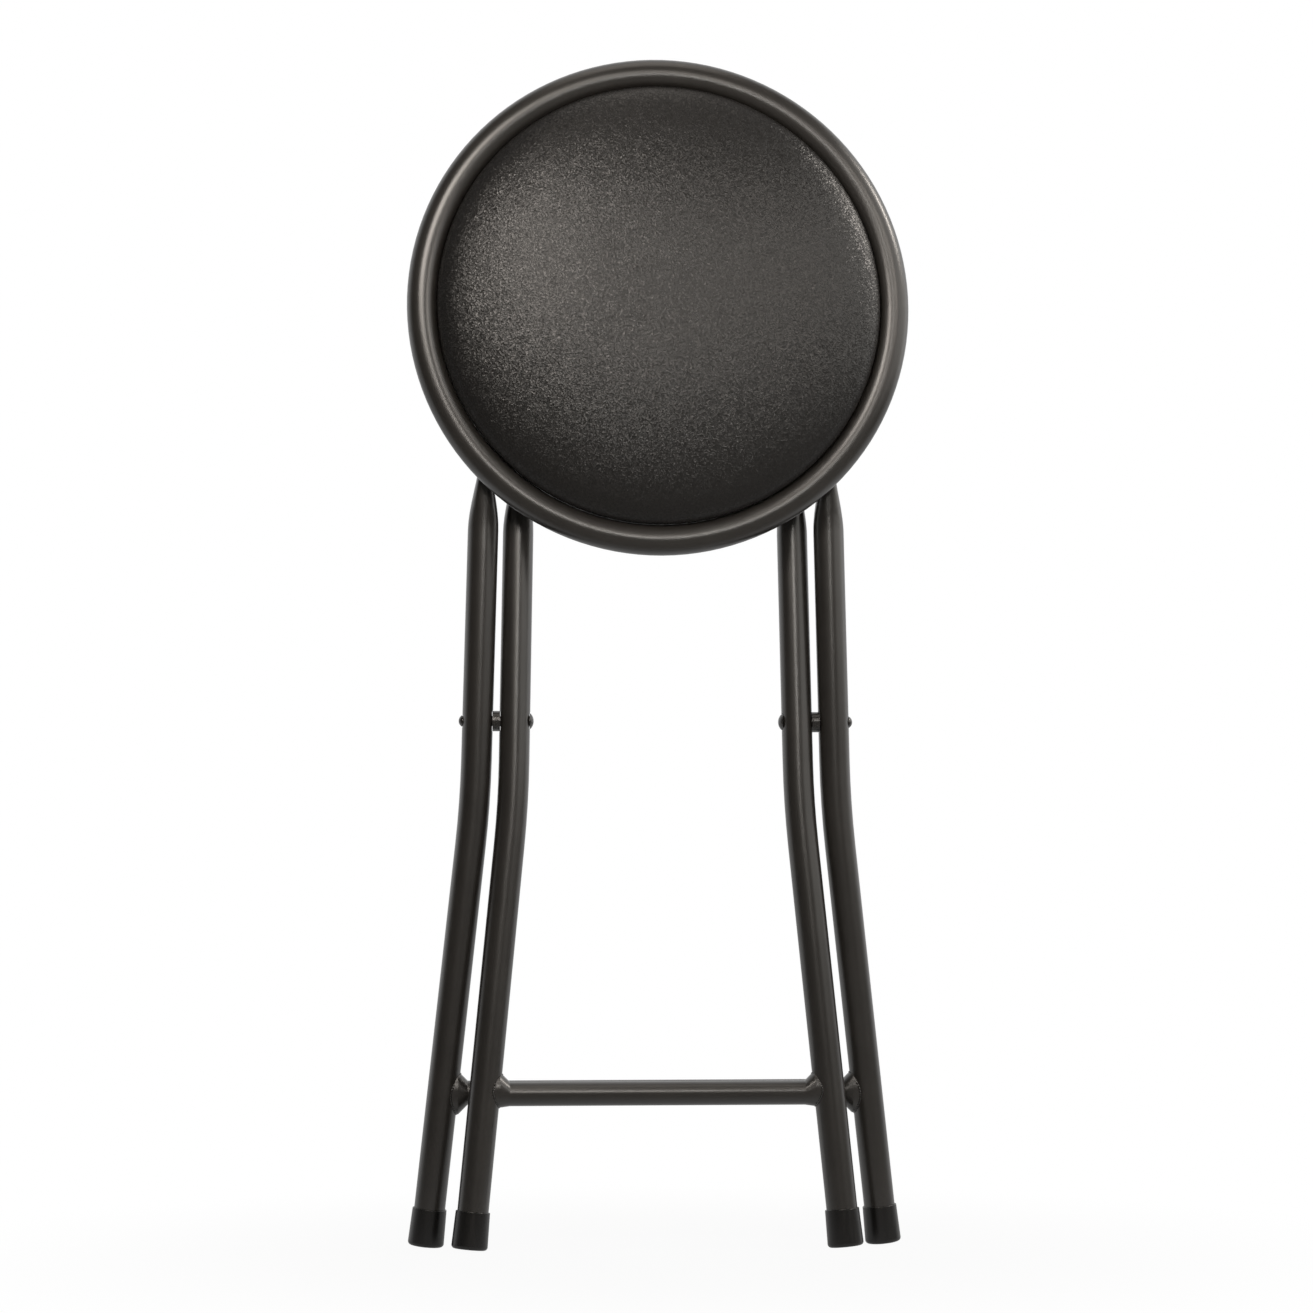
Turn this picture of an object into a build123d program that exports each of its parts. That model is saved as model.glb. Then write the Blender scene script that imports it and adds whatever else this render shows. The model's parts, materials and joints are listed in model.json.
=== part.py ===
from build123d import *
import os
from math import asin, atan2, copysign, cos, degrees, pi, radians, sin, tan

# Folding stool with a round padded seat on a scissor frame of round tube, modelled folded and upright.
# Millimetres, +Z up, seat face towards -Y. Each leg frame is drawn flat with the pivot axis along X through
# the origin, then turned into the folded pose. The finished stool is moved so that the origin lies on the
# floor under the middle of its box.

# Fits and gaps
FIT = 0.05            # radial or face clearance of pieces fixed to each other
RUNNING_FIT = 0.06    # radial clearance of a rivet in a hole that turns on it
SIDE_PLAY = 0.3       # play along a rivet between pieces that turn
WELD_GAP = 0.1        # root gap under a weld
FOLD_GAP = 0.6        # between outer crossbar and inner legs when folded
STOP_GAP = 0.8        # between seat ring and outer leg tops when folded
HOOK_PLAY = 0.3       # between catch rod and hook when open

# Seat ring
RING_DIAMETER = 295.0
RING_TUBE = 18.0
RING_WALL = 1.2

# Legs
LEG_TUBE = 18.0
LEG_WALL = 1.2
PIVOT_TO_HINGE = 167.0
PIVOT_TO_SOLE = 304.5
OUTER_PIVOT_X = 105.0
PIVOT_SPACE = 3.8     # between the tubes of inner and outer leg at the pivot
OUTER_LEAN = 1.4      # degrees, legs leaning inward above the pivot
INNER_LEAN = 0.9
OUTER_SPLAY = 6.15    # degrees, legs spreading below the bend
INNER_SPLAY = 5.5
BEND_DROP = 48.0
BEND_RADIUS = 600.0

# Flattened leg tops
TAPER_LENGTH = 50.0
FLAT_BELOW_HINGE = 5.0
FLAT_THICKNESS = 5.0
FLAT_WIDTH = 24.0
FLAT_POWER = 4.0      # squareness of the flattened section, 2 being round
TOP_MARGIN = 10.0     # from the hinge axis to the tip
TAPER_STEPS = 4
BORE_STEPS = 3        # taper sections that the tube's bore reaches
SECTION_POINTS = 24

# Crossbars
CROSSBAR_TUBE = 14.0
CROSSBAR_WALL = 1.2
CROSSBAR_DROP = 216.5
WELD_LEG = 5.5        # reach of the weld bead along bar and leg
INNER_WELD_UNDER = 0.8  # its reach below the inner crossbar, which is welded from above
WELD_SIDE = 0.8       # stand-out of the bead at the front and back of the bar

# Foot caps
CAP_WALL = 0.85       # at the top of the cap, round the tube
CAP_FLARE = 0.6       # by which the cap's radius grows down to the sole
CAP_HEIGHT = 21.5
CAP_SOLE = 3.5
CAP_EDGE = 2.0
CAP_RIM = 0.4

# Pivot rivets and spacers
PIVOT_RIVET = 6.0
PIVOT_HEAD = 10.0
PIVOT_HEAD_HEIGHT = 2.4
PEENED_END = 7.0
PEENED_HEIGHT = 2.2
SPACER_DIAMETER = 12.0
SPACER_SEAT = 0.6     # depth of the flat pressed into a tube under a spacer or head
PEENED_SEAT = 0.4
SEAT_MARGIN = 0.5     # by which a pressed flat is wider than what sits on it

# Seat hinge
HINGE_RIVET = 6.0
HINGE_HEAD = 11.0
HINGE_HEAD_HEIGHT = 2.4
WASHER_DIAMETER = 14.0
WASHER_THICKNESS = 1.4

# Seat rails
RAIL_NOSE = 23.8      # from the hinge axis to the rail's front end
RAIL_THICKNESS = 3.0
FLANGE_WIDTH = 13.0
FLANGE_THICKNESS = 2.5
EAR_RADIUS = 8.0
HOOK_WALL = 9.0
HOOK_DEPTH = 7.0
HOOK_ROUND = 3.0

# Catch rod
CATCH_ROD = 7.0
ROD_CHAMFER = 0.8

# Cushion
BOARD_THICKNESS = 9.0
COVER_THICKNESS = 1.0
RING_GAP = 0.4        # between the ring's opening and the cover where it is drawn in
BULGE = 0.6           # by which the cushion's widest level stands out from there
BULGE_HEIGHT = 6.0    # widest level above the ring's middle plane
CROWN_HEIGHT = 29.0   # top of the crown above the ring's middle plane
SHOULDER_RADIUS = 13.0
HEM_WIDTH = 22.0
HEM_CORNER = 2.0

# Fasteners under the seat
SCREW_DIAMETER = 4.0
SCREW_HEAD = 7.5
SCREW_HEAD_HEIGHT = 2.2
SCREW_BITE = 7.0
SCREW_CLEARANCE = 0.2
SCREW_SPACING = 110.0
STAPLE_COUNT = 28
STAPLE_CROWN = 10.0
STAPLE_WIRE = 1.2
STAPLE_HEIGHT = 0.6
STAPLE_RAIL_MARGIN = 7.0

# Worked-out sizes
LEG_R = LEG_TUBE / 2
BAR_R = CROSSBAR_TUBE / 2
RING_R = RING_TUBE / 2
ROD_R = CATCH_ROD / 2
RING_MAJOR = RING_DIAMETER / 2 - RING_R
INNER_PIVOT_X = OUTER_PIVOT_X - LEG_TUBE - PIVOT_SPACE
FOLD_HALF = degrees(asin((LEG_R + BAR_R + FOLD_GAP) / (2 * CROSSBAR_DROP)))
FLAT_START = PIVOT_TO_HINGE - FLAT_BELOW_HINGE
OUTER_TOP_X = OUTER_PIVOT_X - FLAT_START * tan(radians(OUTER_LEAN))

WAIST_R = RING_MAJOR - RING_R - RING_GAP
CUSHION_R = WAIST_R + BULGE

# Levels of the seat above the hinge axis, square to the seat
RING_LEVEL = FLAT_WIDTH / 2 + RING_R + STOP_GAP
RAIL_TOP = RING_LEVEL - RING_R - WELD_GAP
RAIL_BOTTOM = ROD_R + HOOK_PLAY
HEM_BOTTOM = RAIL_TOP + FIT
BOARD_BOTTOM = HEM_BOTTOM + COVER_THICKNESS + FIT
BOARD_TOP = BOARD_BOTTOM + BOARD_THICKNESS
BULGE_LEVEL = RING_LEVEL + BULGE_HEIGHT
CROWN_LEVEL = RING_LEVEL + CROWN_HEIGHT

# Places along X of the hinge stack, counted from the outer leg top inward
TAB_INNER_X = OUTER_TOP_X - FLAT_THICKNESS / 2
WASHER_OUTER_X = TAB_INNER_X - SIDE_PLAY
RAIL_OUTER_X = WASHER_OUTER_X - WASHER_THICKNESS - SIDE_PLAY
RAIL_INNER_X = RAIL_OUTER_X - RAIL_THICKNESS
FLANGE_INNER_X = RAIL_OUTER_X - FLANGE_WIDTH
SCREW_X = (FLANGE_INNER_X + RAIL_INNER_X) / 2

# Places along the seat: the rails run from front to rear of the ring, the catch is as far behind the seat's
# middle as the hinge is before it
RAIL_REACH = (RING_MAJOR**2 - RAIL_OUTER_X**2) ** 0.5
SEAT_HINGE_DROP = RAIL_REACH - RAIL_NOSE
CATCH_REACH = 2 * SEAT_HINGE_DROP
OPEN_HALF = degrees(asin(CATCH_REACH / (2 * PIVOT_TO_HINGE)))


def along_x(radius, start, end):
    """A round bar along X from start to end."""
    return Pos((start + end) / 2, 0, 0) * Rot(0, 90, 0) * Cylinder(radius, abs(end - start))


def between(low, high):
    """A box from one corner to the other."""
    size = [b - a for a, b in zip(low, high)]
    middle = [(a + b) / 2 for a, b in zip(low, high)]
    return Pos(*middle) * Box(*size)


def dome(radius, height):
    """A rivet head: a round cap standing on the XY plane."""
    ball = (radius**2 + height**2) / (2 * height)
    half = asin(radius / ball) / 2
    middle = (ball * sin(half), height - ball + ball * cos(half))
    curve = ThreePointArc((0, height), middle, (radius, 0))
    outline = Polyline((radius, 0), (0, 0), (0, height))
    return revolve(Plane.XZ * make_face([*curve.edges(), *outline.edges()]), Axis.Z)


def facing_x(shape, x, direction):
    """Moves a shape drawn along +Z so that it stands on the plane at x, along +X or -X."""
    return Pos(x, 0, 0) * Rot(0, 90 * direction, 0) * shape


def smooth(t):
    """Eases from 0 to 1."""
    return t * t * (3 - 2 * t)


# Legs


def leg_points(pivot_x, lean, splay):
    """Start of the taper, bend corner and sole centre of a right-hand leg, in the plane of its frame."""
    taper_z = FLAT_START - TAPER_LENGTH
    taper = (pivot_x - taper_z * tan(radians(lean)), 0, taper_z)
    corner = (pivot_x + BEND_DROP * tan(radians(lean)), 0, -BEND_DROP)
    run = PIVOT_TO_SOLE - BEND_DROP
    sole = (corner[0] + run * tan(radians(splay)), 0, -PIVOT_TO_SOLE)
    return taper, corner, sole


def leg_axis_x(pivot_x, lean, splay, drop):
    """X of the leg's axis at a level below its bend."""
    corner = leg_points(pivot_x, lean, splay)[1]
    return corner[0] + (drop - BEND_DROP) * tan(radians(splay))


def flattened_section(x, z, half_thickness, half_width, power):
    """A level section of the leg top: a squared oval."""
    points = []
    for i in range(SECTION_POINTS):
        angle = 2 * pi * i / SECTION_POINTS
        across = copysign(abs(cos(angle)) ** (2 / power), cos(angle))
        deep = copysign(abs(sin(angle)) ** (2 / power), sin(angle))
        points.append((x + half_thickness * across, half_width * deep, z))
    return make_face(Spline(*points, periodic=True))


def leg_form(pivot_x, lean, splay, inset, steps, tip):
    """Tube and flattened top as one closed form, all sizes less the inset, up to a number of taper steps."""
    taper, corner, sole = leg_points(pivot_x, lean, splay)
    slant = radians(splay)
    foot = (sole[0] - CAP_SOLE * sin(slant), 0, sole[2] + CAP_SOLE * cos(slant))
    path = FilletPolyline(foot, corner, taper, radius=BEND_RADIUS)
    tube = sweep(Plane(path @ 0, z_dir=path % 0) * Circle(LEG_R - inset), path=path)
    lean_dir = Vector(-sin(radians(lean)), 0, cos(radians(lean)))
    start = Plane(taper, x_dir=(cos(radians(lean)), 0, sin(radians(lean))), z_dir=lean_dir)
    sections = [start * Circle(LEG_R - inset)]
    for step in range(1, steps + 1):
        t = step / TAPER_STEPS
        z = taper[2] + t * TAPER_LENGTH
        x = pivot_x - z * tan(radians(lean))
        share = smooth(t)
        thickness = LEG_R + share * (FLAT_THICKNESS / 2 - LEG_R) - inset
        width = LEG_R + share * (FLAT_WIDTH / 2 - LEG_R) - inset
        sections.append(flattened_section(x, z, thickness, width, 2 + share * (FLAT_POWER - 2)))
    form = tube + loft(sections)
    if tip:
        end_x = pivot_x - FLAT_START * tan(radians(lean))
        end = flattened_section(end_x, FLAT_START, thickness, width, FLAT_POWER)
        form += extrude(end, FLAT_BELOW_HINGE + TOP_MARGIN, dir=(0, 0, 1))
    return form


def leg_tip_trim():
    """What is cut away to round the flattened tip, as seen along X."""
    radius = FLAT_WIDTH / 2
    centre = PIVOT_TO_HINGE + TOP_MARGIN - radius
    reach = 2 * radius
    block = between((0, -reach, centre), (2 * OUTER_PIVOT_X, reach, centre + reach))
    return block - Pos(0, 0, centre) * along_x(radius, -1, 3 * OUTER_PIVOT_X)


def leg(pivot_x, lean, splay, top_hole, inner_seat, outer_seat):
    """A right-hand leg; each pressed flat at the pivot is a pair of diameter and depth."""
    form = leg_form(pivot_x, lean, splay, 0, TAPER_STEPS, True) - leg_tip_trim()
    form -= leg_form(pivot_x, lean, splay, LEG_WALL, BORE_STEPS, False)
    form -= along_x(PIVOT_RIVET / 2 + RUNNING_FIT, pivot_x - LEG_TUBE, pivot_x + LEG_TUBE)
    form -= Pos(0, 0, PIVOT_TO_HINGE) * along_x(top_hole / 2 + FIT, pivot_x - LEG_TUBE, pivot_x + LEG_TUBE)
    for (diameter, depth), side in ((inner_seat, -1), (outer_seat, 1)):
        flat = pivot_x + side * (LEG_R - depth)
        form -= along_x(diameter / 2 + SEAT_MARGIN, flat, flat + side * LEG_R)
    return form


def foot_cap(pivot_x, lean, splay):
    """A plastic cap over the end of a right-hand leg."""
    bore = LEG_R + FIT
    top_r = bore + CAP_WALL
    cap = Pos(0, 0, CAP_HEIGHT / 2) * Cone(top_r + CAP_FLARE, top_r, CAP_HEIGHT)
    edges = cap.edges().filter_by(GeomType.CIRCLE).sort_by(Axis.Z)
    cap = fillet(edges[0], CAP_EDGE)
    depth = CAP_HEIGHT - CAP_SOLE
    cap -= Pos(0, 0, CAP_SOLE + depth / 2) * Cylinder(bore, depth)
    rim = cap.edges().filter_by(GeomType.CIRCLE).sort_by(Axis.Z)[-2:].sort_by(SortBy.RADIUS)[-1]
    cap = fillet(rim, CAP_RIM)
    sole = leg_points(pivot_x, lean, splay)[2]
    return Pos(*sole) * Rot(0, -splay, 0) * cap


def crossbar(pivot_x, lean, splay, under):
    """A tube between two legs, cut to their round, with weld beads that reach below it by a given amount."""
    reach = leg_axis_x(pivot_x, lean, splay, CROSSBAR_DROP)
    bar = along_x(BAR_R, -reach, reach)
    bead_start = Plane((reach - LEG_R - WELD_LEG, 0, 0), x_dir=(0, 1, 0), z_dir=(1, 0, 0))
    bead_end = bead_start.offset(WELD_LEG)
    raised = Pos(0, (WELD_LEG - under) / 2)
    flare = bead_end * raised * Ellipse(BAR_R + WELD_SIDE, BAR_R + (WELD_LEG + under) / 2)
    bead = loft([bead_start * Circle(BAR_R), flare]) + extrude(flare, LEG_R, dir=(1, 0, 0))
    bar += bead + mirror(bead, about=Plane.YZ)
    bar -= along_x(BAR_R - CROSSBAR_WALL, -reach, reach)
    cut = Pos(reach, 0, 0) * Rot(0, -splay, 0) * Cylinder(LEG_R + WELD_GAP, 6 * LEG_R)
    bar -= cut + mirror(cut, about=Plane.YZ)
    whole = sorted(bar.solids(), key=lambda piece: piece.volume)[-1]
    return Pos(0, 0, -CROSSBAR_DROP) * Part(whole.wrapped)


# Pivot


def pivot_rivet():
    """The right-hand rivet: shank through both legs, domed head inside, peened end outside."""
    head_x = INNER_PIVOT_X - LEG_R + SPACER_SEAT - SIDE_PLAY
    end_x = OUTER_PIVOT_X + LEG_R - PEENED_SEAT + SIDE_PLAY
    rivet = along_x(PIVOT_RIVET / 2, head_x, end_x)
    rivet += facing_x(dome(PIVOT_HEAD / 2, PIVOT_HEAD_HEIGHT), head_x, -1)
    rivet += facing_x(dome(PEENED_END / 2, PEENED_HEIGHT), end_x, 1)
    return rivet


def pivot_spacer():
    """The right-hand spacer between inner and outer leg."""
    start = INNER_PIVOT_X + LEG_R - SPACER_SEAT + SIDE_PLAY
    end = OUTER_PIVOT_X - LEG_R + SPACER_SEAT - SIDE_PLAY
    return along_x(SPACER_DIAMETER / 2, start, end) - along_x(PIVOT_RIVET / 2 + FIT, start, end)


# Hinge and catch, drawn with the hinge axis along X through the origin


def hinge_rivet():
    """The right-hand rivet through the outer leg top, the washer and the rail's ear."""
    outer_x = OUTER_TOP_X + FLAT_THICKNESS / 2 + FIT
    inner_x = RAIL_INNER_X - SIDE_PLAY
    rivet = along_x(HINGE_RIVET / 2, inner_x, outer_x)
    for x, side in ((outer_x, 1), (inner_x, -1)):
        rivet += facing_x(dome(HINGE_HEAD / 2, HINGE_HEAD_HEIGHT), x, side)
    return rivet


def hinge_washer():
    """The right-hand washer between leg top and ear."""
    start = WASHER_OUTER_X - WASHER_THICKNESS
    disc = along_x(WASHER_DIAMETER / 2, start, WASHER_OUTER_X)
    return disc - along_x(HINGE_RIVET / 2 + FIT, start, WASHER_OUTER_X)


def catch_rod():
    """The rod through both inner leg tops, ending flush with the rails."""
    rod = along_x(ROD_R, -RAIL_OUTER_X, RAIL_OUTER_X)
    return chamfer(rod.edges().filter_by(GeomType.CIRCLE), ROD_CHAMFER)


# Seat, drawn about the hinge axis: X across, -Y is the level above the axis, Z runs to the rear of the seat


def seat_ring():
    tube = Torus(RING_MAJOR, RING_R) - Torus(RING_MAJOR, RING_R - RING_WALL)
    return Pos(0, -RING_LEVEL, SEAT_HINGE_DROP) * Rot(90, 0, 0) * tube


def seat_rail():
    """The right-hand angle bar: flange under the board, web with hinge ear and hook."""
    front = SEAT_HINGE_DROP - RAIL_REACH
    rear = SEAT_HINGE_DROP + RAIL_REACH
    hook = CATCH_REACH + ROD_R + HOOK_PLAY
    web = between((RAIL_INNER_X, -RAIL_TOP, front), (RAIL_OUTER_X, -RAIL_BOTTOM, rear))
    web += along_x(EAR_RADIUS, RAIL_INNER_X, RAIL_OUTER_X)
    web += between((RAIL_INNER_X, -RAIL_TOP, -EAR_RADIUS), (RAIL_OUTER_X, 0, EAR_RADIUS))
    wall = between((RAIL_INNER_X, -RAIL_TOP, hook), (RAIL_OUTER_X, HOOK_DEPTH, hook + HOOK_WALL))
    tips = wall.edges().filter_by(Axis.X).group_by(Axis.Y)[-1]
    web += fillet(tips, HOOK_ROUND)
    flange_low = -RAIL_TOP + FLANGE_THICKNESS
    rail = web + between((FLANGE_INNER_X, -RAIL_TOP, front), (RAIL_OUTER_X, flange_low, rear))
    rail -= along_x(HINGE_RIVET / 2 + RUNNING_FIT, FLANGE_INNER_X, RAIL_OUTER_X + RAIL_THICKNESS)
    for z in screw_places():
        rail -= level_bar(SCREW_X, z, SCREW_DIAMETER / 2 + SCREW_CLEARANCE, 0, RAIL_TOP + FLANGE_THICKNESS)
    return rail


def screw_places():
    return [SEAT_HINGE_DROP + side * SCREW_SPACING / 2 for side in (-1, 1)]


def level_bar(x, z, radius, low, high):
    """A round bar square to the seat between two levels above the hinge axis."""
    return Pos(x, -(low + high) / 2, z) * Rot(90, 0, 0) * Cylinder(radius, high - low)


def cushion_form(inset):
    """The upholstered form: crown, rounded shoulder, drawn-in side and flat underside, less the inset."""
    wide = CUSHION_R - inset
    waist = WAIST_R - inset
    crown = CROWN_LEVEL - inset
    shoulder = SHOULDER_RADIUS - inset
    bottom = HEM_BOTTOM + inset
    corner = HEM_CORNER
    rise = crown - BULGE_LEVEL - shoulder
    reach = wide - shoulder
    drop = (reach**2 - rise**2) / (2 * rise)
    sphere = rise + drop + shoulder
    tilt = atan2(reach, drop)
    meet = (sphere * sin(tilt), crown - sphere + sphere * cos(tilt))
    mid_crown = (sphere * sin(tilt / 2), crown - sphere + sphere * cos(tilt / 2))
    turn = (pi / 2 + tilt) / 2
    mid_shoulder = (reach + shoulder * sin(turn), BULGE_LEVEL + shoulder * cos(turn))
    draw = (BULGE**2 + BULGE_HEIGHT**2) / (2 * BULGE)
    half_draw = asin(BULGE_HEIGHT / draw) / 2
    mid_side = (wide - draw + draw * cos(half_draw), BULGE_LEVEL - draw * sin(half_draw))
    edges = [
        *ThreePointArc((0, crown), mid_crown, meet).edges(),
        *ThreePointArc(meet, mid_shoulder, (wide, BULGE_LEVEL)).edges(),
        *ThreePointArc((wide, BULGE_LEVEL), mid_side, (waist, RING_LEVEL)).edges(),
        *Polyline((waist, RING_LEVEL), (waist, bottom + corner), (waist - corner, bottom)).edges(),
        *Polyline((waist - corner, bottom), (0, bottom), (0, crown)).edges(),
    ]
    form = revolve(Plane.XZ * make_face(edges), Axis.Z)
    return Pos(0, 0, SEAT_HINGE_DROP) * Rot(90, 0, 0) * form


def seat_board():
    radius = WAIST_R - COVER_THICKNESS - FIT
    board = level_bar(0, SEAT_HINGE_DROP, radius, BOARD_BOTTOM, BOARD_TOP)
    board = chamfer(board.edges().filter_by(GeomType.CIRCLE).group_by(Axis.Y)[-1], HEM_CORNER)
    for side in (-1, 1):
        for z in screw_places():
            bite = BOARD_BOTTOM + SCREW_BITE + FIT
            board -= level_bar(side * SCREW_X, z, SCREW_DIAMETER / 2 + FIT, BOARD_BOTTOM, bite)
    return board


def seat_foam():
    form = cushion_form(COVER_THICKNESS + FIT)
    return form - level_bar(0, SEAT_HINGE_DROP, RING_DIAMETER, 0, BOARD_TOP + FIT)


def seat_cover():
    cover = cushion_form(0) - cushion_form(COVER_THICKNESS)
    cover -= level_bar(0, SEAT_HINGE_DROP, WAIST_R - HEM_WIDTH, 0, BOARD_BOTTOM)
    for side in (-1, 1):
        for z in screw_places():
            cover -= level_bar(side * SCREW_X, z, SCREW_DIAMETER / 2 + SCREW_CLEARANCE, 0, BOARD_BOTTOM)
    return cover


def cover_staples():
    """Staples round the hem, left out where the rails pass."""
    path_r = WAIST_R - HEM_WIDTH / 2
    high = -HEM_BOTTOM + FIT
    near = (path_r - STAPLE_WIRE / 2, high, -STAPLE_CROWN / 2)
    far = (path_r + STAPLE_WIRE / 2, high + STAPLE_HEIGHT, STAPLE_CROWN / 2)
    staple = between(near, far)
    staples = []
    for i in range(STAPLE_COUNT):
        turn = 360 * (i + 0.5) / STAPLE_COUNT
        across = abs(path_r * cos(radians(turn)))
        if FLANGE_INNER_X - STAPLE_RAIL_MARGIN < across < RAIL_OUTER_X + STAPLE_RAIL_MARGIN:
            continue
        staples.append(Pos(0, 0, SEAT_HINGE_DROP) * Rot(0, turn, 0) * staple)
    return Compound(children=staples)


def board_screws():
    """Pan-head screws from under the flanges into the board."""
    head_top = RAIL_TOP - FLANGE_THICKNESS - FIT
    screws = []
    for side in (-1, 1):
        for z in screw_places():
            head = level_bar(side * SCREW_X, z, SCREW_HEAD / 2, head_top - SCREW_HEAD_HEIGHT, head_top)
            rim = head.edges().filter_by(GeomType.CIRCLE).group_by(Axis.Y)[-1]
            head = fillet(rim, SCREW_HEAD_HEIGHT / 2)
            shank = level_bar(side * SCREW_X, z, SCREW_DIAMETER / 2, head_top, BOARD_BOTTOM + SCREW_BITE)
            screws.append(head + shank)
    return Compound(children=screws)


# Assembly


def both_sides(name, shape):
    """A right-hand piece and its mirror image, named by side."""
    return {f"{name}_left": mirror(shape, about=Plane.YZ), f"{name}_right": shape}


outer = (OUTER_PIVOT_X, OUTER_LEAN, OUTER_SPLAY)
inner = (INNER_PIVOT_X, INNER_LEAN, INNER_SPLAY)
spacer_seat = (SPACER_DIAMETER, SPACER_SEAT)
at_top = Pos(0, 0, PIVOT_TO_HINGE)

outer_frame = {
    **both_sides("outer_leg", leg(*outer, HINGE_RIVET, spacer_seat, (PEENED_END, PEENED_SEAT))),
    **both_sides("outer_foot", foot_cap(*outer)),
    **both_sides("hinge_rivet", at_top * hinge_rivet()),
    **both_sides("hinge_washer", at_top * hinge_washer()),
    "outer_crossbar": crossbar(*outer, WELD_LEG),
}
inner_frame = {
    **both_sides("inner_leg", leg(*inner, CATCH_ROD, (PIVOT_HEAD, SPACER_SEAT), spacer_seat)),
    **both_sides("inner_foot", foot_cap(*inner)),
    "catch_rod": at_top * catch_rod(),
    "inner_crossbar": crossbar(*inner, INNER_WELD_UNDER),
}
pivot = {
    **both_sides("pivot_rivet", pivot_rivet()),
    **both_sides("pivot_spacer", pivot_spacer()),
}
seat = {
    **both_sides("seat_rail", seat_rail()),
    "seat_ring": seat_ring(),
    "seat_board": seat_board(),
    "seat_foam": seat_foam(),
    "seat_cover": seat_cover(),
    "cover_staples": cover_staples(),
    "board_screws": board_screws(),
}

fold = radians(FOLD_HALF)
hinge = (0, -PIVOT_TO_HINGE * sin(fold), PIVOT_TO_HINGE * cos(fold))
placed = {}
for group, place in (
    (outer_frame, Rot(FOLD_HALF, 0, 0)),
    (inner_frame, Rot(-FOLD_HALF, 0, 0)),
    (pivot, Pos(0, 0, 0)),
    (seat, Pos(*hinge)),
):
    for name, shape in group.items():
        placed[name] = place * shape

box = Compound(children=[shape.moved(Location()) for shape in placed.values()]).bounding_box()
shift = Pos(0, -(box.min.Y + box.max.Y) / 2, -box.min.Z)

os.makedirs("parts", exist_ok=True)
for name, shape in placed.items():
    export_step(shift * shape, f"parts/{name}.step")

pivot_at = shift.position
hinge_at = pivot_at + Vector(*hinge)
print("size", box.size)
print("pivot axis at y", round(pivot_at.Y, 4), "z", round(pivot_at.Z, 4))
print("hinge axis at y", round(hinge_at.Y, 4), "z", round(hinge_at.Z, 4))
print("folded half angle", round(FOLD_HALF, 4), "open half angle", round(OPEN_HALF, 4))
print("leg travel", round(OPEN_HALF - FOLD_HALF, 4), "seat travel", round(90 + OPEN_HALF - FOLD_HALF, 4))
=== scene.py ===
import bmesh
import bpy
import json
from math import asin, cos, pi, radians, sin, sqrt, tan
from mathutils import Matrix, Vector


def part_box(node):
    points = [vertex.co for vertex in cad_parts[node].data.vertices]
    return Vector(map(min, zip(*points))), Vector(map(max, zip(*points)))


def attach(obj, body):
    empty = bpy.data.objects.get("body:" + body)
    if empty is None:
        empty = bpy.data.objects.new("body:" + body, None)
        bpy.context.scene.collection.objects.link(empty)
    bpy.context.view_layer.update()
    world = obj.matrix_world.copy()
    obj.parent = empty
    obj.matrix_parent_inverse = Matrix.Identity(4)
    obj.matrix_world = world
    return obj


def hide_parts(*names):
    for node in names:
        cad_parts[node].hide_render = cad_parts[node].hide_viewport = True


# Folding stool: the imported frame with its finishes, an upholstered cushion, weld beads, floor,
# light and camera. Metres, +Z up, seat face towards -Y.

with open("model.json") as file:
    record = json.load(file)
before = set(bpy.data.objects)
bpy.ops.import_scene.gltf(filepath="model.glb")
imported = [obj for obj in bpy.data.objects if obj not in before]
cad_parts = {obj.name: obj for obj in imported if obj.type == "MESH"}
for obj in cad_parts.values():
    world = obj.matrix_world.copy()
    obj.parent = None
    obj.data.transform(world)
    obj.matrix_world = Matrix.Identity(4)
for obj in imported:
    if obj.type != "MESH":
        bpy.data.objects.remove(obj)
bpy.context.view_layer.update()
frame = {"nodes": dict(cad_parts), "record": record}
nodes = frame["nodes"]

MM = 0.001

# Places read from the frame
ring_low, ring_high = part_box("seat_ring")
ring_centre = (ring_low + ring_high) / 2
board_low, board_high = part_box("seat_board")
rivet_low, rivet_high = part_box("pivot_rivet_right")
pivot = Vector((0, (rivet_low.y + rivet_high.y) / 2, (rivet_low.z + rivet_high.z) / 2))

# Cushion sizes, with levels counted from the ring's middle plane
CROWN = 29 * MM
BULGE_LEVEL = 6 * MM
FULLNESS = 2.25        # power of the crown's curve, 2 being an ellipse
SHOULDER_START = 0.9   # share of the radius at which the cells turn from a grid to rings
FILL_RISE = 1.0 * MM   # by which the cover lies low before it is filled
FILL_LIMIT = 3.0 * MM  # furthest that filling moves it
FILL_STEPS = 20
FILL_PRESSURE = 4
COVER_STIFFNESS = 30
COVER_BENDING = 8
HEM_WIDTH = 22 * MM
HEM_CORNER = 2 * MM
GATHER_DEPTH = 0.45 * MM
GATHER_STEP = 0.1      # by which the gathers grow from ring to ring of the hem
GATHER_WAVES = (       # count round the seat, share of the height and phase
    (37, 0.5, 0.4),
    (53, 0.3, 2.1),
    (71, 0.2, 4.4),
)
VINYL = 1.0 * MM
FIT = 0.1 * MM
PROUD = 0.3 * MM       # by which the filled cover stands out at its bulge
GRID = 48              # cells across the crown's middle
SEGMENTS = 4 * GRID    # cells round the sides
SHOULDER_RINGS = 10
SIDE_RINGS = 4
CORNER_RINGS = 3
HEM_RINGS = 7
cover_low, cover_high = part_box("seat_cover")
CUSHION_R = (cover_high.x - cover_low.x) / 2 + PROUD
CROWN_R = SHOULDER_START * CUSHION_R
BOARD_R = (board_high.x - board_low.x) / 2
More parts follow.
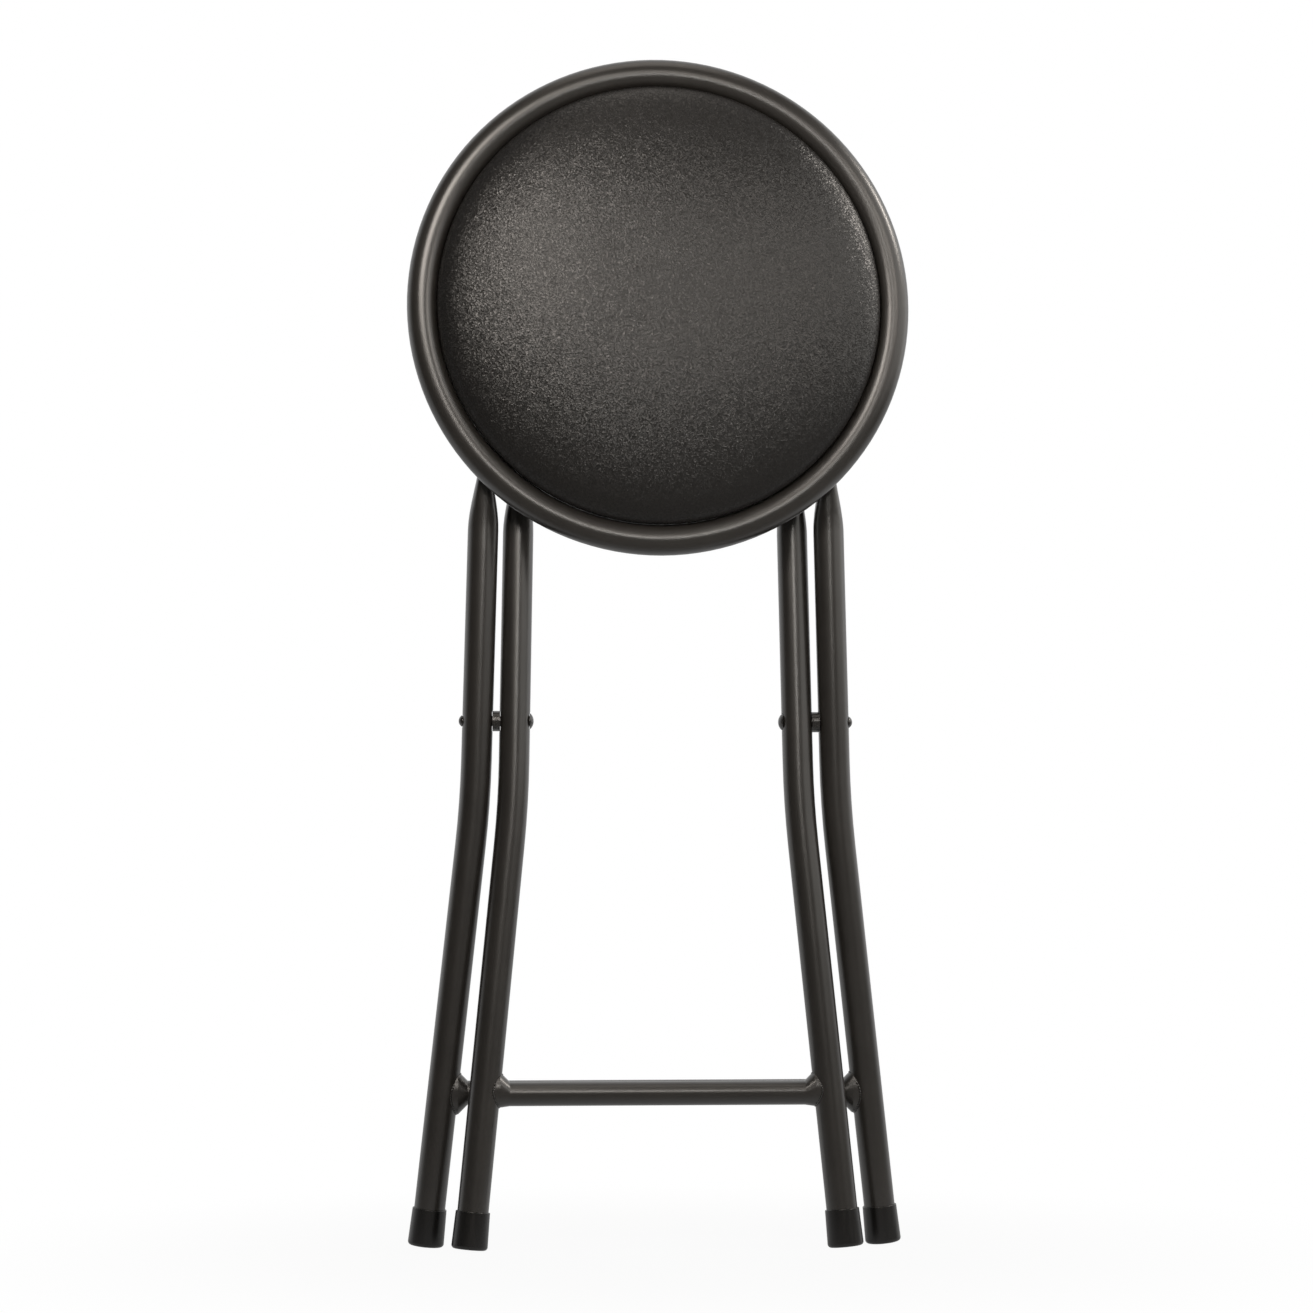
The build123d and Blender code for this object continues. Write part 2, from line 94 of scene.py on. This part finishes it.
WAIST_R = BOARD_R + VINYL + FIT
BOARD_FACE = ring_centre.y - board_low.y
BOARD_BACK = ring_centre.y - board_high.y
HEM_BACK = BOARD_BACK - VINYL - FIT


# Materials


def material(name, metallic=0.0, specular=0.5):
    """A material with a principled shader; returns the material, its node tree and the shader."""
    mat = bpy.data.materials.new(name)
    mat.use_nodes = True
    shader = mat.node_tree.nodes["Principled BSDF"]
    shader.inputs["Metallic"].default_value = metallic
    shader.inputs["Specular IOR Level"].default_value = specular
    return mat, mat.node_tree, shader


def add(tree, kind, **inputs):
    """A node with its inputs set by name."""
    node = tree.nodes.new(kind)
    for name, value in inputs.items():
        node.inputs[name.replace("_", " ")].default_value = value
    return node


def object_coords(tree, scale=(1, 1, 1)):
    """The object's own coordinates in metres, stretched by a scale."""
    coords = tree.nodes.new("ShaderNodeTexCoord")
    mapping = add(tree, "ShaderNodeMapping", Scale=scale)
    tree.links.new(coords.outputs["Object"], mapping.inputs["Vector"])
    return mapping.outputs["Vector"]


def noise_at(tree, vector, scale, detail=2.0, rough=0.5):
    """Noise with a scale counted in blotches to the metre."""
    node = add(tree, "ShaderNodeTexNoise", Scale=scale, Detail=detail, Roughness=rough)
    tree.links.new(vector, node.inputs["Vector"])
    return node.outputs["Fac"]


def ramp(tree, value, stops):
    """A colour ramp through (place, colour) stops."""
    node = tree.nodes.new("ShaderNodeValToRGB")
    elements = node.color_ramp.elements
    while len(elements) < len(stops):
        elements.new(0.5)
    for element, (place, colour) in zip(elements, stops):
        element.position = place
        element.color = (*colour, 1)
    tree.links.new(value, node.inputs["Fac"])
    return node.outputs["Color"]


def spread(tree, value, low, high, start=0.0, end=1.0, kind="LINEAR"):
    """A value between a start and an end mapped onto a range from low to high."""
    node = add(tree, "ShaderNodeMapRange", From_Min=start, From_Max=end, To_Min=low, To_Max=high)
    node.interpolation_type = kind
    tree.links.new(value, node.inputs["Value"])
    return node.outputs["Result"]


def bump(tree, height, strength, distance, under=None):
    """The surface's direction with a height bumped into it, over another bump if one is given."""
    node = add(tree, "ShaderNodeBump", Strength=strength, Distance=distance)
    tree.links.new(height, node.inputs["Height"])
    if under:
        tree.links.new(under, node.inputs["Normal"])
    return node.outputs["Normal"]


def powder_coat(name, dark, light, low, high):
    """Satin powder coat between two tones and two roughnesses, with a faint orange peel."""
    mat, tree, shader = material(name, specular=0.85)
    coords = object_coords(tree)
    tone = noise_at(tree, coords, scale=38, detail=4.0, rough=0.6)
    tree.links.new(ramp(tree, tone, [(0.3, dark), (0.7, light)]), shader.inputs["Base Color"])
    gloss = noise_at(tree, coords, scale=160, detail=3.0, rough=0.6)
    tree.links.new(spread(tree, gloss, low, high), shader.inputs["Roughness"])
    peel = noise_at(tree, coords, scale=520)
    speck = noise_at(tree, coords, scale=2600, detail=1.0)
    normal = bump(tree, peel, strength=0.012, distance=0.6 * MM)
    normal = bump(tree, speck, strength=0.006, distance=0.2 * MM, under=normal)
    tree.links.new(normal, shader.inputs["Normal"])
    return mat


def tilted(tree, cells, amount):
    """The surface's direction with each cell of a pattern leaning its own way."""
    lean = tree.nodes.new("ShaderNodeVectorMath")
    lean.operation = "SUBTRACT"
    lean.inputs[1].default_value = (0.5, 0.5, 0.5)
    tree.links.new(cells.outputs["Color"], lean.inputs[0])
    mix = tree.nodes.new("ShaderNodeVectorMath")
    mix.operation = "MULTIPLY_ADD"
    mix.inputs[1].default_value = (amount, amount, amount)
    tree.links.new(lean.outputs["Vector"], mix.inputs[0])
    tree.links.new(tree.nodes.new("ShaderNodeNewGeometry").outputs["Normal"], mix.inputs[2])
    unit = tree.nodes.new("ShaderNodeVectorMath")
    unit.operation = "NORMALIZE"
    tree.links.new(mix.outputs["Vector"], unit.inputs[0])
    return unit.outputs["Vector"]


def vinyl_cover():
    """Black upholstery vinyl: fine pebbles and creases, each pebble with its own lean and shine."""
    mat, tree, shader = material("vinyl", specular=0.62)
    pebbles = add(tree, "ShaderNodeTexVoronoi", Scale=1350)
    tree.links.new(object_coords(tree), pebbles.inputs["Vector"])
    shade = pebbles.outputs["Color"]
    tree.links.new(
        ramp(tree, shade, [(0.2, (0.0018, 0.0016, 0.0015)), (0.8, (0.0110, 0.0099, 0.0092))]),
        shader.inputs["Base Color"],
    )
    gloss = spread(tree, shade, low=0.50, high=0.28, start=0.2, end=0.8)
    tree.links.new(gloss, shader.inputs["Roughness"])
    normal = tilted(tree, pebbles, amount=0.26)
    normal = bump(tree, pebbles.outputs["Distance"], strength=0.2, distance=0.4 * MM, under=normal)
    tree.links.new(normal, shader.inputs["Normal"])
    return mat


def black_plastic():
    """Moulded black plastic: faint lengthways drag marks and a fine spark finish."""
    mat, tree, shader = material("cap_plastic")
    drag = noise_at(tree, object_coords(tree, (1, 1, 0.06)), scale=420, detail=3.0, rough=0.6)
    spark = noise_at(tree, object_coords(tree), scale=1500)
    tree.links.new(
        ramp(tree, drag, [(0.3, (0.0040, 0.0036, 0.0034)), (0.75, (0.0085, 0.0076, 0.0071))]),
        shader.inputs["Base Color"],
    )
    tree.links.new(spread(tree, drag, low=0.24, high=0.42), shader.inputs["Roughness"])
    normal = bump(tree, drag, strength=0.12, distance=0.5 * MM)
    normal = bump(tree, spark, strength=0.06, distance=0.2 * MM, under=normal)
    tree.links.new(normal, shader.inputs["Normal"])
    return mat


def plywood():
    """Bare plywood face: straight grain with darker streaks and pores."""
    mat, tree, shader = material("plywood", specular=0.35)
    bands = noise_at(tree, object_coords(tree, (1.0, 1.0, 0.08)), scale=95, detail=6.0, rough=0.62)
    tones = [(0.25, (0.27, 0.165, 0.085)), (0.5, (0.43, 0.295, 0.17)), (0.75, (0.55, 0.40, 0.245))]
    tree.links.new(ramp(tree, bands, tones), shader.inputs["Base Color"])
    pores = noise_at(tree, object_coords(tree, (1.0, 1.0, 0.03)), scale=900, rough=0.6)
    tree.links.new(spread(tree, pores, low=0.5, high=0.75), shader.inputs["Roughness"])
    tree.links.new(bump(tree, pores, strength=0.25, distance=0.5 * MM), shader.inputs["Normal"])
    return mat


def zinc():
    """Zinc-plated steel for screws and staples."""
    mat, tree, shader = material("zinc", metallic=1.0)
    mottle = noise_at(tree, object_coords(tree), scale=700, detail=3.0, rough=0.6)
    tree.links.new(
        ramp(tree, mottle, [(0.3, (0.42, 0.42, 0.40)), (0.7, (0.60, 0.60, 0.57))]),
        shader.inputs["Base Color"],
    )
    tree.links.new(spread(tree, mottle, low=0.25, high=0.5), shader.inputs["Roughness"])
    return mat


paint = powder_coat(
    "powder_coat", dark=(0.021, 0.0192, 0.0172), light=(0.029, 0.0266, 0.0240), low=0.29, high=0.33
)
rivet_paint = powder_coat(
    "rivet_paint", dark=(0.014, 0.0130, 0.0120), light=(0.020, 0.0186, 0.0172), low=0.22, high=0.32
)
vinyl = vinyl_cover()
plastic = black_plastic()
wood = plywood()
plating = zinc()

SLOT_MATERIALS = {
    "frame": paint,
    "dark_steel": rivet_paint,
    "vinyl": vinyl,
    "caps": plastic,
    "board": wood,
    "bare_steel": plating,
    "foam": wood,          # hidden, because the cushion stands for it
}
for entry in frame["record"]["subparts"]:
    mesh = nodes[entry["node"]].data
    mesh.materials.clear()
    mesh.materials.append(SLOT_MATERIALS[entry["material_slot"]])


def new_piece(name, mesh, mat, body):
    """A mesh as a smooth-shaded piece that rides on a body."""
    piece = bpy.data.objects.new(name, mesh)
    bpy.context.scene.collection.objects.link(piece)
    mesh.materials.append(mat)
    for face in mesh.polygons:
        face.use_smooth = True
    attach(piece, body)
    return piece


def join(bm, inner, outer):
    """Faces between two rings of the same count."""
    count = len(inner)
    for k in range(count):
        after = (k + 1) % count
        bm.faces.new((inner[k], inner[after], outer[after], outer[k]))


# Cushion


def seat_point(radius, angle, level):
    """A point of the seat by distance from its axis, angle round it and level above the ring."""
    return Vector((
        ring_centre.x + radius * cos(angle),
        ring_centre.y - level,
        ring_centre.z + radius * sin(angle),
    ))


def crown_level(radius):
    """Level of the crown at a distance from the seat's axis, before the cover is filled."""
    share = min(radius / CUSHION_R, 1.0)
    return BULGE_LEVEL + (CROWN - FILL_RISE - BULGE_LEVEL) * sqrt(1 - share**FULLNESS)


def disc_place(u, v):
    """Maps a square from -1 to 1 onto a disc: radius share and angle, even along the rim."""
    if u == 0 and v == 0:
        return 0.0, 0.0
    if abs(u) > abs(v):
        return abs(u), (pi / 4) * (v / u) + (0 if u > 0 else pi)
    return abs(v), pi / 2 - (pi / 4) * (u / v) + (0 if v > 0 else pi)


def side_rings():
    """Rings outside the crown's middle: radius, level and how far the hem's gathers show."""
    rings = []
    start = asin(SHOULDER_START ** (FULLNESS / 2))
    for i in range(1, SHOULDER_RINGS + 1):
        turn = start + (pi / 2 - start) * i / SHOULDER_RINGS
        radius = CUSHION_R * sin(turn) ** (2 / FULLNESS)
        rings.append((radius, crown_level(radius), 0))
    for i in range(1, SIDE_RINGS + 1):
        share = i / SIDE_RINGS
        rings.append((CUSHION_R - (CUSHION_R - WAIST_R) * share**2, BULGE_LEVEL * (1 - share), 0))
    corner_r = WAIST_R - HEM_CORNER
    corner_level = HEM_BACK + HEM_CORNER
    rings.append((WAIST_R, corner_level, 0))
    for i in range(1, CORNER_RINGS + 1):
        turn = (pi / 2) * i / CORNER_RINGS
        radius = corner_r + HEM_CORNER * cos(turn)
        rings.append((radius, corner_level - HEM_CORNER * sin(turn), GATHER_STEP * i))
    for i in range(1, HEM_RINGS + 1):
        radius = corner_r - (HEM_WIDTH - HEM_CORNER) * i / HEM_RINGS
        rings.append((radius, HEM_BACK, GATHER_STEP * (CORNER_RINGS + i)))
    return rings


def gather(angle):
    """Height of the hem's gathers round the seat, from -1 to 1."""
    total = 0
    for count, share, phase in GATHER_WAVES:
        total += share * sin(count * angle + phase)
    return total


def cushion_mesh():
    """The closed form of the cushion: crown, sides, hem and the hollow that holds the board."""
    bm = bmesh.new()
    grid = []
    for j in range(GRID + 1):
        row = []
        for i in range(GRID + 1):
            share, angle = disc_place(2 * i / GRID - 1, 2 * j / GRID - 1)
            radius = share * CROWN_R
            row.append(bm.verts.new(seat_point(radius, angle, crown_level(radius))))
        grid.append(row)
    for j in range(GRID):
        for i in range(GRID):
            bm.faces.new((grid[j][i], grid[j][i + 1], grid[j + 1][i + 1], grid[j + 1][i]))
    rim = [grid[j][GRID] for j in range(GRID // 2, GRID)]
    rim += [grid[GRID][i] for i in range(GRID, 0, -1)]
    rim += [grid[j][0] for j in range(GRID, 0, -1)]
    rim += [grid[0][i] for i in range(0, GRID)]
    rim += [grid[j][GRID] for j in range(0, GRID // 2)]
    last = rim
    for radius, level, show in side_rings():
        ring = []
        for k in range(SEGMENTS):
            angle = 2 * pi * k / SEGMENTS
            fold = show * GATHER_DEPTH * gather(angle)
            ring.append(bm.verts.new(seat_point(radius + fold, angle, level - abs(fold))))
        join(bm, last, ring)
        last = ring
    inside = (
        (WAIST_R - HEM_WIDTH, BOARD_BACK - FIT),
        (BOARD_R + FIT, BOARD_BACK - FIT),
        (BOARD_R + FIT, BOARD_FACE + FIT),
        (BOARD_R / 2, BOARD_FACE + FIT),
    )
    for radius, level in inside:
        ring = []
        for k in range(SEGMENTS):
            ring.append(bm.verts.new(seat_point(radius, 2 * pi * k / SEGMENTS, level)))
        join(bm, last, ring)
        last = ring
    centre = bm.verts.new(seat_point(0, 0, BOARD_FACE + FIT))
    for k in range(SEGMENTS):
        bm.faces.new((last[k], last[(k + 1) % SEGMENTS], centre))
    bmesh.ops.recalc_face_normals(bm, faces=bm.faces)
    mesh = bpy.data.meshes.new("cushion")
    bm.to_mesh(mesh)
    bm.free()
    return mesh


def fill_cover(piece):
    """Blows the cover up like a filled cushion, its sides and hem held, and keeps that shape."""
    mesh = piece.data
    start = [v.co.copy() for v in mesh.vertices]
    held_from = ring_centre.y - BULGE_LEVEL - FIT
    held = piece.vertex_groups.new(name="held")
    held.add([i for i, place in enumerate(start) if place.y > held_from], 1.0, "REPLACE")
    cloth = piece.modifiers.new("fill", "CLOTH")
    cloth.settings.vertex_group_mass = "held"
    cloth.settings.use_pressure = True
    cloth.settings.uniform_pressure_force = FILL_PRESSURE
    cloth.settings.tension_stiffness = COVER_STIFFNESS
    cloth.settings.compression_stiffness = COVER_STIFFNESS
    cloth.settings.bending_stiffness = COVER_BENDING
    cloth.settings.quality = 6
    cloth.settings.effector_weights.gravity = 0
    cloth.point_cache.frame_end = FILL_STEPS
    for moment in range(1, FILL_STEPS + 1):
        bpy.context.scene.frame_set(moment)
    settled = piece.evaluated_get(bpy.context.evaluated_depsgraph_get())
    moves = [after.co - before for after, before in zip(settled.data.vertices, start)]
    piece.modifiers.remove(cloth)
    bpy.context.scene.frame_set(1)
    for vertex, before, move in zip(mesh.vertices, start, moves):
        length = move.length
        vertex.co = before + (move * min(1, FILL_LIMIT / length) if length else move)
    mesh.update()


cushion = new_piece("cushion", cushion_mesh(), vinyl, "seat")
fill_cover(cushion)
smoother = cushion.modifiers.new("smoother", "SUBSURF")
smoother.levels = 1
smoother.render_levels = 1
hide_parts("seat_cover", "seat_foam")

# Weld beads between crossbars and legs

LEG_R = 9 * MM
BEND_DROP = 48 * MM
LEGS = {                # distance from the middle at the pivot, degrees of lean and of splay
    "outer": (105 * MM, 1.4, 6.15),
    "inner": (83.2 * MM, 0.9, 5.5),
}
BEAD_R = 0.6 * MM
BEAD_INSET = 0.2 * MM   # of the bead's line from the flare's edge
RIPPLES = 44
RIPPLE_LOW = 0.86       # share of the bead's radius between ripples
RIPPLE_RISE = 0.28
BEAD_STEPS = 264
BEAD_SIDES = 10


def bead_path(centre, half_length, half_width, upward, outward, splay, side):
    """Points of a bead on the leg round a crossbar's end, each with the way out of the leg."""
    forward = Vector((1, 0, 0)).cross(upward)
    for i in range(BEAD_STEPS):
        angle = 2 * pi * i / BEAD_STEPS
        high = half_length * sin(angle)
        deep = half_width * cos(angle)
        inward = sqrt(LEG_R**2 - deep**2)
        x = outward - high * tan(splay) - inward / cos(splay)
        point = centre + Vector((side * x, 0, 0)) + upward * high + forward * deep
        yield point, (Vector((-side * inward, 0, 0)) + forward * deep).normalized()


def weld_bead(name, body, centre, half_length, half_width, outward, splay, side):
    """A rippled weld bead as a closed tube along its path."""
    upward = (pivot - centre).normalized()
    path = list(bead_path(centre, half_length, half_width, upward, outward, splay, side))
    bm = bmesh.new()
    rings = []
    for i, (point, away) in enumerate(path):
        along = (path[(i + 1) % BEAD_STEPS][0] - path[i - 1][0]).normalized()
        across = along.cross(away).normalized()
        swell = BEAD_R * (RIPPLE_LOW + RIPPLE_RISE * abs(sin(pi * RIPPLES * i / BEAD_STEPS)))
        ring = []
        for k in range(BEAD_SIDES):
            angle = 2 * pi * k / BEAD_SIDES
            ring.append(bm.verts.new(point + swell * (cos(angle) * away + sin(angle) * across)))
        rings.append(ring)
    for i, ring in enumerate(rings):
        join(bm, rings[i - 1], ring)
    bmesh.ops.recalc_face_normals(bm, faces=bm.faces)
    mesh = bpy.data.meshes.new(name)
    bm.to_mesh(mesh)
    bm.free()
    new_piece(name, mesh, rivet_paint, body)


for which, (leg_x, lean, splay) in LEGS.items():
    flare_low, flare_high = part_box(f"{which}_crossbar")
    flare_centre = (flare_low + flare_high) / 2
    half_width = (flare_high.y - flare_low.y) / 2 - BEAD_INSET
    half_length = (flare_high.z - flare_low.z) / 2 - BEAD_INSET
    drop = (pivot - flare_centre).length
    axis_x = leg_x + BEND_DROP * tan(radians(lean)) + (drop - BEND_DROP) * tan(radians(splay))
    for hand, side in (("left", -1), ("right", 1)):
        weld_bead(
            f"{which}_weld_{hand}", f"{which}_frame",
            flare_centre, half_length, half_width, axis_x, radians(splay), side,
        )

# Floor and surroundings

FLOOR_HALF = 30.0
FLOOR_GAP = 0.4 * MM    # under the soles

floor_mesh = bpy.data.meshes.new("floor")
corners = [(x * FLOOR_HALF, y * FLOOR_HALF, 0) for x, y in ((-1, -1), (1, -1), (1, 1), (-1, 1))]
floor_mesh.from_pydata(corners, [], [(0, 1, 2, 3)])
floor = bpy.data.objects.new("floor", floor_mesh)
floor.location.z = -FLOOR_GAP
bpy.context.scene.collection.objects.link(floor)


def math_node(tree, operation, first, second):
    """A two-input maths node between outputs."""
    node = tree.nodes.new("ShaderNodeMath")
    node.operation = operation
    tree.links.new(first, node.inputs[0])
    tree.links.new(second, node.inputs[1])
    return node.outputs[0]


def mixed(tree, share, first, second):
    """A mix of two shaders by an output."""
    mix = tree.nodes.new("ShaderNodeMixShader")
    tree.links.new(share, mix.inputs[0])
    tree.links.new(first.outputs[0], mix.inputs[1])
    tree.links.new(second.outputs[0], mix.inputs[2])
    return mix.outputs[0]


def pale_floor():
    """White floor with a soft shadow near the object, white behind it in reflections too."""
    mat = bpy.data.materials.new("pale_floor")
    mat.use_nodes = True
    tree = mat.node_tree
    tree.nodes.clear()
    out = tree.nodes.new("ShaderNodeOutputMaterial")
    diffuse = add(tree, "ShaderNodeBsdfDiffuse", Color=(0.3, 0.3, 0.3, 1))
    glow = add(tree, "ShaderNodeEmission", Color=(1, 1, 1, 1), Strength=1.0)
    coords = object_coords(tree)
    distance = tree.nodes.new("ShaderNodeVectorMath")
    distance.operation = "LENGTH"
    tree.links.new(coords, distance.inputs[0])
    far = spread(tree, distance.outputs["Value"], 0.95, 1.0, start=0.1, end=0.5, kind="SMOOTHSTEP")
    place = tree.nodes.new("ShaderNodeSeparateXYZ")
    tree.links.new(coords, place.inputs[0])
    behind = spread(tree, place.outputs["Y"], 0.0, 0.6, start=-0.2, end=0.1, kind="SMOOTHSTEP")
    rays = tree.nodes.new("ShaderNodeLightPath").outputs
    mirrored = math_node(tree, "MULTIPLY", rays["Is Glossy Ray"], behind)
    seen = math_node(tree, "MAXIMUM", rays["Is Camera Ray"], rays["Is Transmission Ray"])
    share = math_node(tree, "MULTIPLY", math_node(tree, "MAXIMUM", seen, mirrored), far)
    tree.links.new(mixed(tree, share, diffuse, glow), out.inputs["Surface"])
    return mat


floor_mesh.materials.append(pale_floor())


def studio_world():
    """White where it is seen; in reflections white behind the object and a dim room before it."""
    world = bpy.data.worlds.new("studio")
    world.use_nodes = True
    tree = world.node_tree
    tree.nodes.clear()
    out = tree.nodes.new("ShaderNodeOutputWorld")
    room = add(tree, "ShaderNodeBackground", Color=(1, 0.97, 0.93, 1), Strength=0.07)
    white = add(tree, "ShaderNodeBackground", Color=(1, 1, 1, 1), Strength=1.0)
    direction = tree.nodes.new("ShaderNodeSeparateXYZ")
    tree.links.new(tree.nodes.new("ShaderNodeTexCoord").outputs["Generated"], direction.inputs[0])
    behind = spread(tree, direction.outputs["Y"], 0.0, 1.0, start=-0.1, end=0.5, kind="SMOOTHSTEP")
    rays = tree.nodes.new("ShaderNodeLightPath").outputs
    mirrored = math_node(tree, "MAXIMUM", rays["Is Glossy Ray"], rays["Is Transmission Ray"])
    mirrored = math_node(tree, "MULTIPLY", mirrored, behind)
    seen = math_node(tree, "MAXIMUM", rays["Is Camera Ray"], mirrored)
    tree.links.new(mixed(tree, seen, room, white), out.inputs["Surface"])
    return world


bpy.context.scene.world = studio_world()

# Light


def softbox(name, place, aim, width, height, power, colour):
    """A rectangular area lamp at a place, turned towards an aim; returns its object."""
    lamp = bpy.data.lights.new(name, "AREA")
    lamp.shape = "RECTANGLE"
    lamp.size = width
    lamp.size_y = height
    lamp.energy = power
    lamp.color = colour
    holder = bpy.data.objects.new(name, lamp)
    holder.location = place
    holder.rotation_euler = (Vector(aim) - Vector(place)).to_track_quat("-Z", "Y").to_euler()
    bpy.context.scene.collection.objects.link(holder)
    return holder


SEAT_AIM = (0, -0.03, 0.54)
STOOL_AIM = (0, 0, 0.42)
WARM = (1.0, 0.92, 0.84)
PALE = (1.0, 0.97, 0.92)
softbox("key_left", (-0.26, -0.62, 0.79), SEAT_AIM, 0.26, 0.24, 2.15, WARM)
softbox("key_right", (0.33, -0.66, 0.76), SEAT_AIM, 0.2, 0.2, 0.65, WARM)
softbox("leg_key", (0.07, -1.05, 0.57), STOOL_AIM, 0.22, 0.1, 0.95, PALE)
softbox("front", (-0.1, -2.2, 1.05), STOOL_AIM, 0.5, 0.6, 4.6, WARM)
softbox("right_wall", (1.5, -0.9, 1.15), (0, -0.9, 0.75), 3.0, 1.5, 18.0, PALE)
softbox("right_rim", (1.3, -0.15, 1.35), SEAT_AIM, 0.3, 0.4, 6.5, WARM)
softbox("top", (0.0, -0.4, 2.3), (0, -0.4, 0), 1.0, 1.2, 4.5, WARM)
back_fill = softbox("back_fill", (0.5, 2.6, 2.6), STOOL_AIM, 2.4, 2.0, 30.0, PALE)
back_fill.visible_glossy = False   # it lights the back with no glint on the crossbars

# Camera

CAMERA_YAW = 3.97      # degrees, to the left of the seat's axis
CAMERA_RISE = 5.29     # degrees, looking up
CAMERA_ROLL = -0.08    # degrees
CAMERA_DISTANCE = 1.765
CAMERA_AIM = Vector((0.2 * MM, 0, 38.5 * MM))  # of the picture's middle from the pivot
FOCAL_PIXELS = 2992.0
IMAGE_PIXELS = 1313.0
SENSOR = 36.0
FAR_CLIP = 200.0

yaw = radians(CAMERA_YAW)
up = radians(CAMERA_RISE)
view = Vector((sin(yaw) * cos(up), cos(yaw) * cos(up), sin(up)))
lens = bpy.data.cameras.new("camera")
lens.sensor_width = SENSOR
lens.lens = SENSOR * FOCAL_PIXELS / IMAGE_PIXELS
lens.clip_end = FAR_CLIP
camera = bpy.data.objects.new("camera", lens)
camera.location = pivot + CAMERA_AIM - view * CAMERA_DISTANCE
turn = view.to_track_quat("-Z", "Y").to_matrix()
camera.rotation_euler = (turn @ Matrix.Rotation(radians(CAMERA_ROLL), 3, "Z")).to_euler()
bpy.context.scene.collection.objects.link(camera)
bpy.context.scene.camera = camera
bpy.context.scene.view_settings.view_transform = "Standard"
